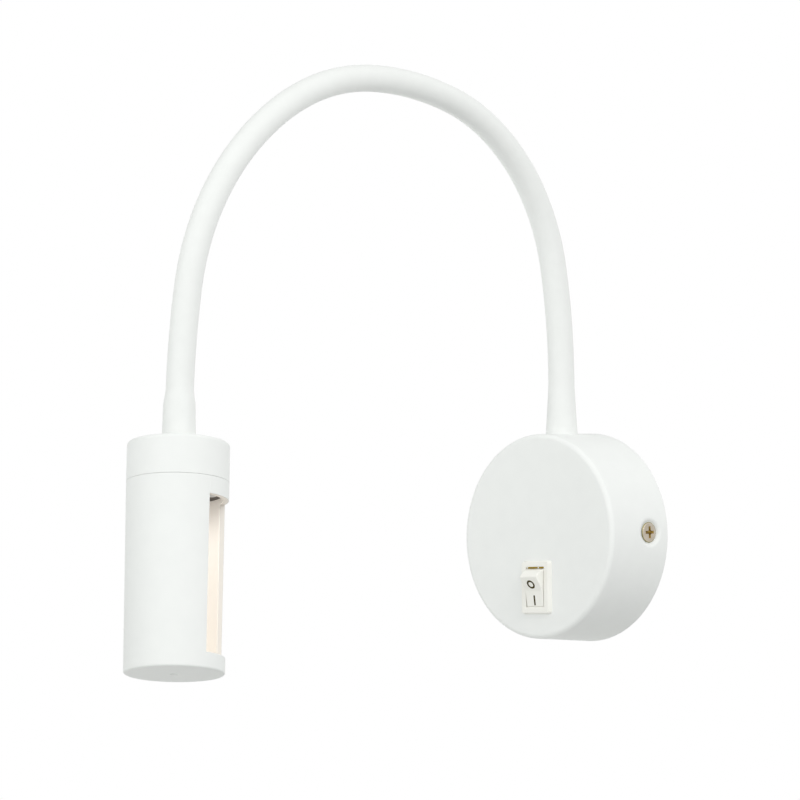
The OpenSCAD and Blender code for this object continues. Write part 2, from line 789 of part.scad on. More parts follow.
module led_board() {
    color(soft_white) at_head() translate([0, 0, board_z]) cylinder(d = board_d, h = board_t);
}

module led_emitter() {
    color(ivory) at_head() translate([0, 0, board_z + board_t]) {
        translate([0, 0, led_t / 2]) cube([led_side, led_side, led_t], center = true);
        intersection() {
            translate([0, 0, led_t]) sphere(r = led_dome_r);
            cylinder(r = led_side, h = led_t + led_dome_r);
        }
    }
}

// Plano-convex lens that lies in the retainer
module led_lens() {
    dome_d = aperture_d - 2 * slip_gap;
    dome_r = (pow(dome_d / 2, 2) + pow(lens_rise, 2)) / (2 * lens_rise);
    color([0.9, 0.93, 0.95, 0.6]) at_head() {
        translate([0, 0, retainer_z - lens_t]) cylinder(d = lens_d, h = lens_t);
        intersection() {
            translate([0, 0, retainer_z + lens_rise - dome_r]) sphere(r = dome_r);
            translate([0, 0, retainer_z - eps]) cylinder(d = dome_d, h = lens_rise + 2 * eps);
        }
    }
}

// Dark plate that holds the lens, and closes the groove in which the shade's ring runs
module lens_retainer() {
    color(dark) at_head() difference() {
        translate([0, 0, retainer_z]) cylinder(r = spigot_r, h = retainer_t);
        translate([0, 0, retainer_z - cut]) cylinder(d = aperture_d, h = retainer_t + 2 * cut);
        at_posts() translate([0, 0, retainer_z - cut])
            cylinder(d = sink_screw_d + 2 * slip_gap, h = retainer_t + 2 * cut);
    }
}

module sink_screws() {
    color(dark) at_head() at_posts() translate([0, 0, retainer_z + retainer_t]) {
        cylinder(d = sink_screw_head_d, h = sink_screw_head_h);
        translate([0, 0, -sink_screw_l]) cylinder(d = sink_screw_d, h = sink_screw_l + eps);
    }
}

// Open spring ring in the shade's groove, running between the heat sink and the retainer
module shade_ring() {
    color(steel) at_head() translate([0, 0, ring_z]) rotate(slot_turn + 180 + ring_open / 2)
        rotate_extrude(angle = 360 - ring_open)
            translate([shade_inner_r, 0]) circle(d = ring_wire, $fn = 24);
}

// Shade: a closed tube with a tall light slot in its side
module shade() {
    slot_end = slot_top + slot_h;
    color(white) at_head() difference() {
        rotate_extrude() difference() {
            translate([0, shade_top]) cup_half(head_r, shade_end_r, head_h - shade_top, shade_edge_r);
            ring_half(0, shade_inner_r, shade_top - cut, head_h - shade_floor);
        }
        translate([0, 0, ring_z]) rotate_extrude()
            translate([shade_inner_r, 0]) circle(d = ring_wire + slip_gap, $fn = 24);
        rotate(slot_turn - slot_angle / 2) rotate_extrude(angle = slot_angle)
            ring_half(shade_inner_r - cut, head_r + cut, slot_top, slot_end);
        translate([0, 0, head_h + dimple_r - floor_dimple]) sphere(r = dimple_r);
    }
}

base_cover();
side_screws();
wall_bracket();
lead_grommet();
terminal_block();
terminal_clamps();
terminal_screws();
led_driver();
driver_pad();
switch_housing();
switch_terminals();
rocker();
lower_ferrule();
lower_washer();
lower_nut();
for (k = [0:section_count - 1]) {
    neck_core(k);
    neck_lead(k);
    neck_sleeve(k);
}
upper_ferrule();
upper_washer();
upper_nut();
head_cap();
heat_sink();
sink_screws();
led_board();
led_emitter();
led_lens();
lens_retainer();
shade_ring();
shade();
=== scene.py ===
import json
import math

import bmesh
import bpy
from mathutils import Matrix, Vector


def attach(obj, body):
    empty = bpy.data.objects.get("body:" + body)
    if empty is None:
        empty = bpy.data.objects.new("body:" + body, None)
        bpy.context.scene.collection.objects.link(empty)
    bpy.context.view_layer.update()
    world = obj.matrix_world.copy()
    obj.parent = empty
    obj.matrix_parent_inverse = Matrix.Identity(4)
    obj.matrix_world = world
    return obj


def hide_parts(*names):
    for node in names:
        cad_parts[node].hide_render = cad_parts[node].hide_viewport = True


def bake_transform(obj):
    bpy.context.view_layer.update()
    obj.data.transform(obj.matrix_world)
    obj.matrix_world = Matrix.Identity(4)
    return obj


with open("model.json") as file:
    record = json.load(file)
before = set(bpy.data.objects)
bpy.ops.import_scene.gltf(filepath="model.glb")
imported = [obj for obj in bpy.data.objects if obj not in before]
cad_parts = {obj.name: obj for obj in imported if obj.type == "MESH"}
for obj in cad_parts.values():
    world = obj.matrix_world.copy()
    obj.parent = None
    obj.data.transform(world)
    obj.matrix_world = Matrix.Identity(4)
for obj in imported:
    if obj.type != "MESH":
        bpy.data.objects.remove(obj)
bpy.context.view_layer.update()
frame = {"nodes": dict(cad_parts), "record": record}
print("frame loaded:", len(frame["nodes"]), "nodes")

mm = 0.001
weldGap = 0.0005  # corners closer than this are one, in mm
cutGap = 0.0001  # corners closer than this to a cut lie on it
slack = 0.01  # room when faces are picked by their place
nearlyFlat = 0.99  # share of a normal along one axis
onWall = Matrix.Rotation(math.radians(90), 4, "X")  # x right, y up, z out of the wall


# the camera stands where the photo was taken from
view = {
    "lens": 210.07,
    "sensor": 36,
    "far": 50,
    "place": (1.23333, -1.31424, -0.04583),
    "turn": (93.1556, 0.3206, 45.5335),
}

camera = bpy.data.objects.new("camera", bpy.data.cameras.new("camera"))
bpy.context.scene.collection.objects.link(camera)
camera.data.lens = view["lens"]
camera.data.sensor_width = view["sensor"]
camera.data.clip_end = view["far"]
camera.location = view["place"]
camera.rotation_euler = [math.radians(angle) for angle in view["turn"]]
bpy.context.scene.camera = camera
bpy.context.scene.view_settings.view_transform = "Standard"

# pale floor, soft sky and one softbox, in metres
studio = {
    "white": (1, 1, 1, 1),
    "floorHeight": -0.13,
    "floorFrom": (-0.75, -0.85),
    "floorTo": (0.05, 0.20),
    "floorCells": 8,
    "floorColour": (0.83, 0.83, 0.82, 1),
    "floorRough": 0.9,
    "floorLift": 0.22,  # added where the floor is seen, so that it reads as pale
    "sky": {"X": (0.22, 0.42), "Y": (1.59, 1.0), "Z": (0.0, 0.46)},  # from the minus and plus sides
    "skyBelow": (2.30, 0.56),  # from under the horizon, left and right
    "skyColour": (0.985, 1.0, 0.99, 1),
    "horizon": (-0.2, 0.05),
    "keyPower": 11.6,
    "keyPlace": (1.3, -0.3, 0.9),
    "keyAim": (0.0, -0.11, 0.06),
    "keySize": 1.1,
}


def mathNode(tree, operation, first, second):
    node = tree.nodes.new("ShaderNodeMath")
    node.operation = operation
    for socket, value in zip(node.inputs, (first, second)):
        if isinstance(value, float):
            socket.default_value = value
        else:
            tree.links.new(value, socket)
    return node.outputs[0]


def spanNode(tree, value, source, target):
    node = tree.nodes.new("ShaderNodeMapRange")
    node.inputs["From Min"].default_value, node.inputs["From Max"].default_value = source
    node.inputs["To Min"].default_value, node.inputs["To Max"].default_value = target
    tree.links.new(value, node.inputs["Value"])
    return node.outputs[0]


def mixNode(tree, share, first, second, out):
    mix = tree.nodes.new("ShaderNodeMixShader")
    tree.links.new(share, mix.inputs[0])
    tree.links.new(first.outputs[0], mix.inputs[1])
    tree.links.new(second.outputs[0], mix.inputs[2])
    tree.links.new(mix.outputs[0], out.inputs["Surface"])


def newFinish(name):
    finish = bpy.data.materials.new(name)
    finish.use_nodes = True
    return finish, finish.node_tree, finish.node_tree.nodes["Principled BSDF"]


def seenDirectly(tree):
    # 1 for what is seen straight, in a reflection or through glass, 0 for plain light
    path = tree.nodes.new("ShaderNodeLightPath")
    seen = mathNode(tree, "MAXIMUM", path.outputs["Is Camera Ray"], path.outputs["Is Glossy Ray"])
    return mathNode(tree, "MAXIMUM", seen, path.outputs["Is Transmission Ray"])


def makeSky():
    world = bpy.data.worlds.new("studio")
    bpy.context.scene.world = world
    world.use_nodes = True
    tree = world.node_tree
    tree.nodes.clear()
    out = tree.nodes.new("ShaderNodeOutputWorld")
    white = tree.nodes.new("ShaderNodeBackground")
    white.inputs["Color"].default_value = studio["white"]
    soft = tree.nodes.new("ShaderNodeBackground")
    soft.inputs["Color"].default_value = studio["skyColour"]
    where = tree.nodes.new("ShaderNodeTexCoord")
    split = tree.nodes.new("ShaderNodeSeparateXYZ")
    tree.links.new(where.outputs["Generated"], split.inputs[0])
    level = None
    for axis, sides in studio["sky"].items():
        square = mathNode(tree, "MULTIPLY", split.outputs[axis], split.outputs[axis])
        ahead = mathNode(tree, "GREATER_THAN", split.outputs[axis], 0.0)
        share = mathNode(tree, "MULTIPLY", square, spanNode(tree, ahead, (0, 1), sides))
        level = share if level is None else mathNode(tree, "ADD", level, share)
    above = spanNode(tree, split.outputs["Z"], studio["horizon"], (0, 1))
    under = spanNode(tree, split.outputs["Z"], studio["horizon"], (1, 0))
    right = mathNode(tree, "GREATER_THAN", split.outputs["X"], 0.0)
    below = spanNode(tree, right, (0, 1), studio["skyBelow"])
    lower = mathNode(tree, "MULTIPLY", under, below)
    upper = mathNode(tree, "MULTIPLY", level, above)
    tree.links.new(mathNode(tree, "ADD", upper, lower), soft.inputs["Strength"])
    mixNode(tree, seenDirectly(tree), soft, white, out)


def makeFloor():
    bm = bmesh.new()
    low, high = Vector(studio["floorFrom"]), Vector(studio["floorTo"])
    cells = studio["floorCells"]
    bmesh.ops.create_grid(bm, x_segments=cells, y_segments=cells, size=0.5)
    bmesh.ops.scale(bm, vec=(*(high - low), 1), verts=bm.verts)
    middle = (*((low + high) / 2), studio["floorHeight"])
    bmesh.ops.translate(bm, vec=middle, verts=bm.verts)
    mesh = bpy.data.meshes.new("floor")
    bm.to_mesh(mesh)
    bm.free()
    floor = bpy.data.objects.new("floor", mesh)
    bpy.context.scene.collection.objects.link(floor)
    finish, tree, shader = newFinish("pale_floor")
    shader.inputs["Base Color"].default_value = studio["floorColour"]
    shader.inputs["Roughness"].default_value = studio["floorRough"]
    paintedGlint = tree.nodes.new("ShaderNodeEmission")
    paintedGlint.inputs["Color"].default_value = studio["white"]
    paintedGlint.inputs["Strength"].default_value = studio["floorLift"]
    both = tree.nodes.new("ShaderNodeAddShader")
    tree.links.new(shader.outputs[0], both.inputs[0])
    tree.links.new(paintedGlint.outputs[0], both.inputs[1])
    mixNode(tree, seenDirectly(tree), shader, both, tree.nodes["Material Output"])
    mesh.materials.append(finish)


def makeKey():
    lamp = bpy.data.lights.new("softbox", "AREA")
    lamp.shape = "SQUARE"
    lamp.size = studio["keySize"]
    lamp.energy = studio["keyPower"]
    key = bpy.data.objects.new("softbox", lamp)
    bpy.context.scene.collection.objects.link(key)
    key.location = studio["keyPlace"]
    aim = Vector(studio["keyAim"]) - key.location
    key.rotation_euler = aim.to_track_quat("-Z", "Y").to_euler()


makeSky()
makeFloor()
makeKey()
print("studio set")


# how the noise in a finish is spread
texture = {
    "tint": (0.3, 0.7),  # part of the noise that runs from the dark to the pale tint
    "rough": (0.25, 0.75),  # part that runs from the smoother to the rougher end
    "tintGrain": 14,  # a patch of tint is this many grains wide
    "tintDetail": 3.0,
    "grainDetail": 1.5,
    "grainRough": 0.05,
    "brushScale": 260,
    "brushDetail": 4,
    "brushRough": 0.08,
    "brushDepth": 0.01,
    "brushStrength": 0.4,
    "brushStretch": (1, 1, 14),
}


def speckle(tree, size, detail=2.0):
    # noise whose grains are about this many millimetres across
    where = tree.nodes.new("ShaderNodeTexCoord")
    noise = tree.nodes.new("ShaderNodeTexNoise")
    noise.inputs["Scale"].default_value = 1 / (size * mm)
    noise.inputs["Detail"].default_value = detail
    tree.links.new(where.outputs["Object"], noise.inputs["Vector"])
    return noise


def tinted(tree, shader, noise, dark, pale):
    ramp = tree.nodes.new("ShaderNodeValToRGB")
    for element, at, tint in zip(ramp.color_ramp.elements, texture["tint"], (dark, pale)):
        element.position = at
        element.color = (*tint, 1)
    tree.links.new(noise.outputs["Fac"], ramp.inputs["Fac"])
    tree.links.new(ramp.outputs["Color"], shader.inputs["Base Color"])


def roughened(tree, shader, noise, low, high):
    rough = spanNode(tree, noise.outputs["Fac"], texture["rough"], (low, high))
    tree.links.new(rough, shader.inputs["Roughness"])


def dented(tree, shader, noise, depth, strength=1.0):
    bump = tree.nodes.new("ShaderNodeBump")
    bump.inputs["Distance"].default_value = depth * mm
    bump.inputs["Strength"].default_value = strength
    tree.links.new(noise.outputs["Fac"], bump.inputs["Height"])
    tree.links.new(bump.outputs["Normal"], shader.inputs["Normal"])


def grainFinish(name, dark, pale, rough, grain, depth, specular=0.5):
    finish, tree, shader = newFinish(name)
    coarse = speckle(tree, grain * texture["tintGrain"], texture["tintDetail"])
    fine = speckle(tree, grain, texture["grainDetail"])
    tinted(tree, shader, coarse, dark, pale)
    roughened(tree, shader, coarse, rough - texture["grainRough"], rough + texture["grainRough"])
    dented(tree, shader, fine, depth)
    shader.inputs["Specular IOR Level"].default_value = specular
    return finish


def brushedFinish(name, dark, pale, rough, stretch=texture["brushStretch"]):
    finish, tree, shader = newFinish(name)
    where = tree.nodes.new("ShaderNodeTexCoord")
    pull = tree.nodes.new("ShaderNodeMapping")
    pull.inputs["Scale"].default_value = stretch
    noise = tree.nodes.new("ShaderNodeTexNoise")
    noise.inputs["Scale"].default_value = texture["brushScale"]
    noise.inputs["Detail"].default_value = texture["brushDetail"]
    tree.links.new(where.outputs["Object"], pull.inputs["Vector"])
    tree.links.new(pull.outputs[0], noise.inputs["Vector"])
    tinted(tree, shader, noise, dark, pale)
    roughened(tree, shader, noise, rough - texture["brushRough"], rough + texture["brushRough"])
    dented(tree, shader, noise, texture["brushDepth"], texture["brushStrength"])
    shader.inputs["Metallic"].default_value = 1
    return finish


def glassFinish(name, tint, rough, bend, grain):
    finish, tree, shader = newFinish(name)
    roughened(tree, shader, speckle(tree, grain), *rough)
    shader.inputs["Base Color"].default_value = (*tint, 1)
    shader.inputs["Transmission Weight"].default_value = 1
    shader.inputs["IOR"].default_value = bend
    return finish


# slot: name, dark and pale tint, roughness, grain and dents in mm, gloss where it isn't common
mouldings = {
    "white_plastic": ("powder_white", (0.862, 0.874, 0.860), (0.876, 0.888, 0.873),
                      0.62, 0.45, 0.012, 0.12),
    "white_silicone": ("silicone_white", (0.833, 0.845, 0.829), (0.851, 0.863, 0.847),
                       0.58, 0.35, 0.004, 0.2),
    "switch_plastic": ("ivory_moulding", (0.886, 0.878, 0.827), (0.902, 0.894, 0.845),
                       0.34, 0.5, 0.003),
    "grey_plastic": ("pale_moulding", (0.66, 0.66, 0.63), (0.72, 0.72, 0.69), 0.55, 0.4, 0.01),
    "lead_plastic": ("lead_insulation", (0.58, 0.57, 0.53), (0.63, 0.62, 0.58), 0.5, 0.3, 0.005),
    "board_white": ("board_mask", (0.80, 0.80, 0.77), (0.84, 0.84, 0.81), 0.4, 0.2, 0.004),
    "led_yellow": ("phosphor", (0.80, 0.58, 0.14), (0.88, 0.66, 0.20), 0.45, 0.15, 0.004),
    "dark_plastic": ("dark_moulding", (0.070, 0.060, 0.052), (0.092, 0.080, 0.070),
                     0.6, 0.4, 0.01),
    "black_rubber": ("black_rubber", (0.012, 0.012, 0.012), (0.024, 0.024, 0.023),
                     0.75, 0.3, 0.01),
}

# slot: name, dark and pale tint, roughness, stretch of the brushing where it isn't common
metals = {
    "zinc_steel": ("zinc_plate", (0.52, 0.53, 0.55), (0.64, 0.65, 0.66), 0.38),
    "nickel_screw": ("dull_nickel", (0.45, 0.40, 0.32), (0.57, 0.51, 0.43), 0.30, (6, 1, 1)),
    "brass": ("plain_brass", (0.62, 0.45, 0.16), (0.74, 0.56, 0.24), 0.32),
    "aluminium": ("turned_aluminium", (0.62, 0.63, 0.64), (0.74, 0.75, 0.76), 0.34),
}

finishes = {slot: grainFinish(*recipe) for slot, recipe in mouldings.items()}
finishes.update({slot: brushedFinish(*recipe) for slot, recipe in metals.items()})
finishes["lens_clear"] = glassFinish("lens_clear", (0.95, 0.97, 0.97), (0.02, 0.06), 1.49, 2.0)

# second coats of single faces
accents = {
    # dark brass in the screws' cross recesses: brass tone darkened as painted shade
    "recessBrassShade": brushedFinish("recess_brass_painted_shade", (0.12, 0.07, 0.008), (0.44, 0.30, 0.08), 0.30),
    # darker olive coat on the rims of the screw heads: painted shade
    "rim": brushedFinish("rim_olive_painted_shade", (0.27, 0.24, 0.10), (0.36, 0.32, 0.15), 0.50),
    # dark brass tone deep in the switch's well: the contacts' brass, darkened as painted shade
    "well": grainFinish("switch_well_brass_and_shade", (0.26, 0.17, 0.010), (0.42, 0.29, 0.035),
                        0.6, 0.9, 0.004, 0.2),
    "mark": grainFinish("mark_ink", (0.040, 0.028, 0.003), (0.062, 0.045, 0.007),
                        0.7, 0.25, 0.002, 0.2),
    # greyer cream on the slot's cut faces: painted shade with the lamp's warm tone
    "edge": grainFinish("slot_edge", (0.83, 0.79, 0.73), (0.85, 0.81, 0.755), 0.45, 0.45, 0.01),
}
print("finishes mixed:", len(finishes) + len(accents))


def wrapUp(name, bm, place, coats, body=None, crease=32):
    # millimetres in a local frame become metres in the lamp's own frame
    bmesh.ops.remove_doubles(bm, verts=bm.verts, dist=weldGap)
    bmesh.ops.recalc_face_normals(bm, faces=bm.faces)
    bmesh.ops.transform(bm, matrix=Matrix.Scale(mm, 4) @ place, verts=bm.verts)
    mesh = bpy.data.meshes.new(name)
    bm.to_mesh(mesh)
    bm.free()
    for coat in coats:
        mesh.materials.append(coat)
    mesh.polygons.foreach_set("use_smooth", [True] * len(mesh.polygons))
    mesh.set_sharp_from_angle(angle=math.radians(crease))
    piece = bpy.data.objects.new(name, mesh)
    bpy.context.scene.collection.objects.link(piece)
    if body:
        even = piece.modifiers.new("even", "WEIGHTED_NORMAL")
        even.keep_sharp = True
        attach(piece, body)
    return piece


def joinInto(bm, part, place):
    bmesh.ops.recalc_face_normals(part, faces=part.faces)
    bmesh.ops.transform(part, matrix=place, verts=part.verts)
    mesh = bpy.data.meshes.new("joined")
    part.to_mesh(mesh)
    part.free()
    bm.from_mesh(mesh)
    bpy.data.meshes.remove(mesh)


def sectionLoop(bm, corners, rounding):
    # closed outline of a turned wall as (radius, height), with some corners rounded
    verts = [bm.verts.new((r, 0, z)) for r, z in corners]
    bm.faces.new(verts)
    for corner, size in rounding.items():
        steps = max(3, int(4 + size * 3))  # a larger rounding gets more steps
        bmesh.ops.bevel(bm, geom=[verts[corner]], offset=size, affect="VERTICES",
                        segments=steps, profile=0.5, material=-1)
    face = list(bm.faces)[0]
    loop = list(face.verts), list(face.edges)
    bmesh.ops.delete(bm, geom=[face], context="FACES_ONLY")
    return loop


def turnLoop(bm, verts, edges, steps, start=0.0):
    if start:
        turn = Matrix.Rotation(math.radians(start), 3, "Z")
        bmesh.ops.rotate(bm, verts=verts, cent=(0, 0, 0), matrix=turn)
    bmesh.ops.spin(bm, geom=verts + edges, cent=(0, 0, 0), axis=(0, 0, 1), dvec=(0, 0, 0),
                   angle=math.tau, steps=steps, use_merge=True)
    bmesh.ops.remove_doubles(bm, verts=bm.verts, dist=weldGap)


def dropAxis(bm, edges):
    # the edge on the axis would only turn into itself
    onAxis = [e for e in edges if e.is_valid and all(abs(v.co.x) < weldGap for v in e.verts)]
    bmesh.ops.delete(bm, geom=onAxis, context="EDGES")
    return [e for e in edges if e.is_valid]


def sliceFaces(bm, faces, point, normal):
    edges = dict.fromkeys(e for f in faces for e in f.edges)
    verts = dict.fromkeys(v for f in faces for v in f.verts)
    bmesh.ops.bisect_plane(bm, geom=[*faces, *edges, *verts], dist=cutGap,
                           plane_co=point, plane_no=normal)


def soften(bm, edges, offset, steps):
    bmesh.ops.bevel(bm, geom=edges, offset=offset, affect="EDGES", segments=steps,
                    profile=0.5, material=-1)


def newVerts(made):
    return [g for g in made["geom"] if isinstance(g, bmesh.types.BMVert)]


def clamp(value):
    return min(max(value, 0.0), 1.0)


def ease(low, high, value):
    t = clamp((value - low) / (high - low))
    return t * t * (3 - 2 * t)


# neck, one smooth sleeve in seven pieces, each around one joint between its eight sections
neck = {
    "bendReach": 21.7,  # how far a bend spreads on both sides of its joint
    "seat": 38.767,
    "fromWall": 16.0,
    "footLength": 21.0,
    "footWidth": 12.3,
    "footTaper": 19.0,
    "footPast": 4.0,  # how far the foot's soft end runs into the first section
    "footSoft": 0.02,
    "section": 43.5,
    "bends": [10.5, 33, 31.1, 18.6, 28.4, 23.4, 24.5, 3.1],
    "sways": [0, 1.2, -0.5, 0.4, -1.4, 0.9, 1.7, 5.3],
    "sleeve": 10.0,
    "tipLength": 13.0,
    "tipTop": 11.5,
    "tipBase": 12.1,
    "tipCollar": 14.0,
    "tipFlare": 5.4,
    "tipSoft": 0.8,
    "sides": 96,
    "step": 0.87,
}
sections = len(neck["bends"])
neckLength = neck["footLength"] + sections * neck["section"] + neck["tipLength"]


def alongSection(k, share):
    # from the start of a section to a share of its length, bending forward and sideways
    turn = math.radians(math.hypot(neck["bends"][k], neck["sways"][k]))
    side = Matrix.Rotation(math.atan2(neck["sways"][k], neck["bends"][k]), 4, "Z")
    radius = neck["section"] / turn
    bent = turn * share
    move = Matrix.Translation((0, -radius * (1 - math.cos(bent)), radius * math.sin(bent)))
    return side @ move @ Matrix.Rotation(bent, 4, "X") @ side.inverted()


neckFrames = [Matrix.Translation((0, -neck["fromWall"], neck["seat"] + neck["footLength"]))]
for k in range(sections):
    neckFrames.append(neckFrames[-1] @ alongSection(k, 1.0))
headFrame = neckFrames[-1] @ Matrix.Translation((0, 0, neck["tipLength"]))


def neckStation(length):
    # frame at a length along the neck, counted from the seat on the base
    run = length - neck["footLength"]
    if run <= 0:
        return neckFrames[0] @ Matrix.Translation((0, 0, run))
    k = int(run // neck["section"])
    if k >= sections:
        past = run - sections * neck["section"]
        return neckFrames[-1] @ Matrix.Translation((0, 0, past))
    return neckFrames[k] @ alongSection(k, run / neck["section"] - k)


def sleeveRadius(length):
    half = neck["sleeve"] / 2
    foot = neck["footWidth"] / 2
    if length < neck["footLength"] + neck["footPast"]:
        wider = foot - (foot - half) * length / neck["footTaper"] - half
        return half + 0.5 * (wider + math.sqrt(wider ** 2 + neck["footSoft"]))
    collar = neckLength - neck["tipCollar"]
    soft = neck["tipSoft"]
    flare = ease(collar - neck["tipFlare"] - soft, collar + soft, length)
    spread = (neck["tipBase"] - neck["tipTop"]) / 2 * clamp((length - collar) / neck["tipCollar"])
    return half + (neck["tipTop"] / 2 - half) * flare + spread


def sleevePiece(name, start, end):
    steps = round((end - start) / neck["step"])
    stations = [start + i * (end - start) / steps for i in range(steps + 1)]
    bm = bmesh.new()
    ring = bmesh.ops.create_circle(bm, segments=neck["sides"], radius=sleeveRadius(start),
                                   matrix=neckStation(start), cap_ends=True)["verts"]
    for here, there in zip(stations, stations[1:]):
        known = set(ring)
        edges = dict.fromkeys(e for v in ring for e in v.link_edges if e.other_vert(v) in known)
        ring = newVerts(bmesh.ops.extrude_edge_only(bm, edges=list(edges)))
        grow = sleeveRadius(there) / sleeveRadius(here)
        wider = Matrix.Diagonal((grow, grow, 1, 1))
        move = neckStation(there) @ wider @ neckStation(here).inverted()
        bmesh.ops.transform(bm, matrix=move, verts=ring)
    bmesh.ops.holes_fill(bm, edges=[e for e in bm.edges if e.is_boundary], sides=0)
    return wrapUp(name, bm, Matrix(), [finishes["white_silicone"]])


def makeSleeves():
    section, reach = neck["section"], neck["bendReach"]
    last = sections - 1
    for k in range(1, sections):
        middle = neck["footLength"] + k * section
        start = 0.0 if k == 1 else middle - section / 2
        end = neckLength if k == last else middle + section / 2
        piece = sleevePiece("sleeve_%d" % k, start, end)
        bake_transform(piece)
        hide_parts("neck_sleeve_%d" % k)
        if k == last:
            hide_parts("neck_sleeve_%d" % sections)


makeSleeves()
print("sleeve drawn along", neckLength, "mm")


# base cover, a turned cup with a dish on each side, the switch's opening and its inner bosses
cover = {
    "radius": 40.0,
    "frontRadius": 39.0,
    "depth": 30.0,
    "wall": 2.0,
    "edges": {0: 0.25, 1: 0.35, 2: 1.9, 5: 1.0},  # corner of the section: rounding
    "skin": 1.2,  # what lies less deep belongs to the outer face
    "sideRings": 24,
    "turns": 240,
    "crease": 40,
    "screwFromWall": 9.5,
    "screwRise": 0.9,
    "dishDepth": 1.2,
    "dishFloor": 4.15,
    "dishMouth": 6.0,
    "dishPatch": 8.5,  # the part of the side with finer faces
    "dishReach": 9.0,
    "dishSide": 34.0,
    "dishFromWall": 1.0,  # the back rim stays as it was turned
    "dishCuts": 3,
    "bossWidth": 12.8,
    "bossBore": 4.4,
    "bossEdge": 0.3,
    "bossGap": 0.6,  # from the boss to the dish's floor
    "earFace": 36.283,
    "padWidth": 17.5,
    "padBore": 8.3,
    "padThickness": 2.6,
    "padUnder": 0.4,
    "padEdge": 0.4,
    "ringTurns": 64,
    "panel": (13.2, 19.4),
    "switchDrop": 19.5,
}


def coverRadius(out):
    return cover["radius"] - (cover["radius"] - cover["frontRadius"]) * out / cover["depth"]


def makeCover():
    bm = bmesh.new()
    back, front, wall, depth = cover["radius"], cover["frontRadius"], cover["wall"], cover["depth"]
    corners = [(back - wall, 0), (back, 0), (front, depth), (0, depth), (0, depth - wall),
               (front - wall, depth - wall)]
    verts, edges = sectionLoop(bm, corners, cover["edges"])
    edges = dropAxis(bm, edges)
    # rings down the outer side, so that the screw dishes have something to bend
    side = [e for e in edges if abs(e.verts[0].co.z - e.verts[1].co.z) > depth / 2
            and e.verts[0].co.x > back - cover["skin"]]
    bmesh.ops.subdivide_edges(bm, edges=side, cuts=cover["sideRings"])
    turnLoop(bm, list(bm.verts), list(bm.edges), cover["turns"])
    sinkDishes(bm)
    openPanel(bm)
    addBosses(bm)
    addPad(bm)
    coats = [finishes["white_plastic"]]
    piece = wrapUp("base_shell", bm, onWall, coats, "base", cover["crease"])
    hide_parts("base_cover")


def sinkDishes(bm):
    level = coverRadius(cover["screwFromWall"]) - cover["dishDepth"]
    slope = cover["dishMouth"] - cover["dishFloor"]

    def fromScrew(point):
        return math.hypot(point.y - cover["screwRise"], point.z - cover["screwFromWall"])

    def onSide(point, reach):
        return (abs(point.x) > cover["dishSide"] and fromScrew(point) < reach
                and point.xy.length > cover["radius"] - cover["skin"])

    patch = [f for f in bm.faces if onSide(f.calc_center_median(), cover["dishPatch"])]
    edges = dict.fromkeys(e for f in patch for e in f.edges)
    bmesh.ops.subdivide_edges(bm, edges=list(edges), cuts=cover["dishCuts"], use_grid_fill=True)
    for v in bm.verts:
        if not onSide(v.co, cover["dishReach"]):
            continue
        if v.co.z > cover["dishFromWall"]:
            v.co.xy = v.co.xy.normalized() * coverRadius(v.co.z)
        sunk = (1 - clamp((fromScrew(v.co) - cover["dishFloor"]) / slope)) ** 2
        v.co.x += (math.copysign(level, v.co.x) - v.co.x) * sunk


def openPanel(bm):
    # opening for the switch, cut through both sheets of the front
    width, height = cover["panel"]
    drop = cover["switchDrop"]
    inner = cover["depth"] - cover["wall"]

    def frontFaces():
        return [f for f in bm.faces if f.calc_center_median().z > inner - slack
                and abs(f.normal.z) > nearlyFlat]

    for x in (width / 2, -width / 2):
        sliceFaces(bm, frontFaces(), (x, 0, 0), (1, 0, 0))
    for y in (height / 2, -height / 2):
        sliceFaces(bm, frontFaces(), (0, y - drop, 0), (0, 1, 0))
    inside = [f for f in frontFaces() if abs(f.calc_center_median().x) < width / 2
              and abs(f.calc_center_median().y + drop) < height / 2]
    bmesh.ops.delete(bm, geom=inside, context="FACES")
    bmesh.ops.bridge_loops(bm, edges=[e for e in bm.edges if e.is_boundary])


def addBosses(bm):
    # rings behind the dishes, up to the bracket's ears
    outer, bore = cover["bossWidth"] / 2, cover["bossBore"] / 2
    floor = coverRadius(cover["screwFromWall"]) - cover["bossGap"] - cover["dishDepth"]
    reach = floor - cover["earFace"]
    for side in (-1, 1):
        boss = bmesh.new()
        corners = [(bore, 0), (outer, 0), (outer, reach), (bore, reach)]
        verts, edges = sectionLoop(boss, corners, {1: cover["bossEdge"]})
        turnLoop(boss, verts, edges, cover["ringTurns"])
        at = side * cover["earFace"], cover["screwRise"], cover["screwFromWall"]
        joinInto(bm, boss, Matrix.Translation(at) @ Matrix.Rotation(side * math.pi / 2, 4, "Y"))


def addPad(bm):
    # flat ring inside, under the neck's foot
    pad = bmesh.new()
    outer, bore = cover["padWidth"] / 2, cover["padBore"] / 2
    low, high = -cover["padThickness"], -cover["padUnder"]
    corners = [(bore, low), (outer, low), (outer, high), (bore, high)]
    verts, edges = sectionLoop(pad, corners, {1: cover["padEdge"]})
    turnLoop(pad, verts, edges, cover["ringTurns"])
    seat = Matrix.Translation((0, -neck["fromWall"], neck["seat"]))
    joinInto(bm, pad, onWall.inverted() @ seat)


makeCover()
print("base cover turned")


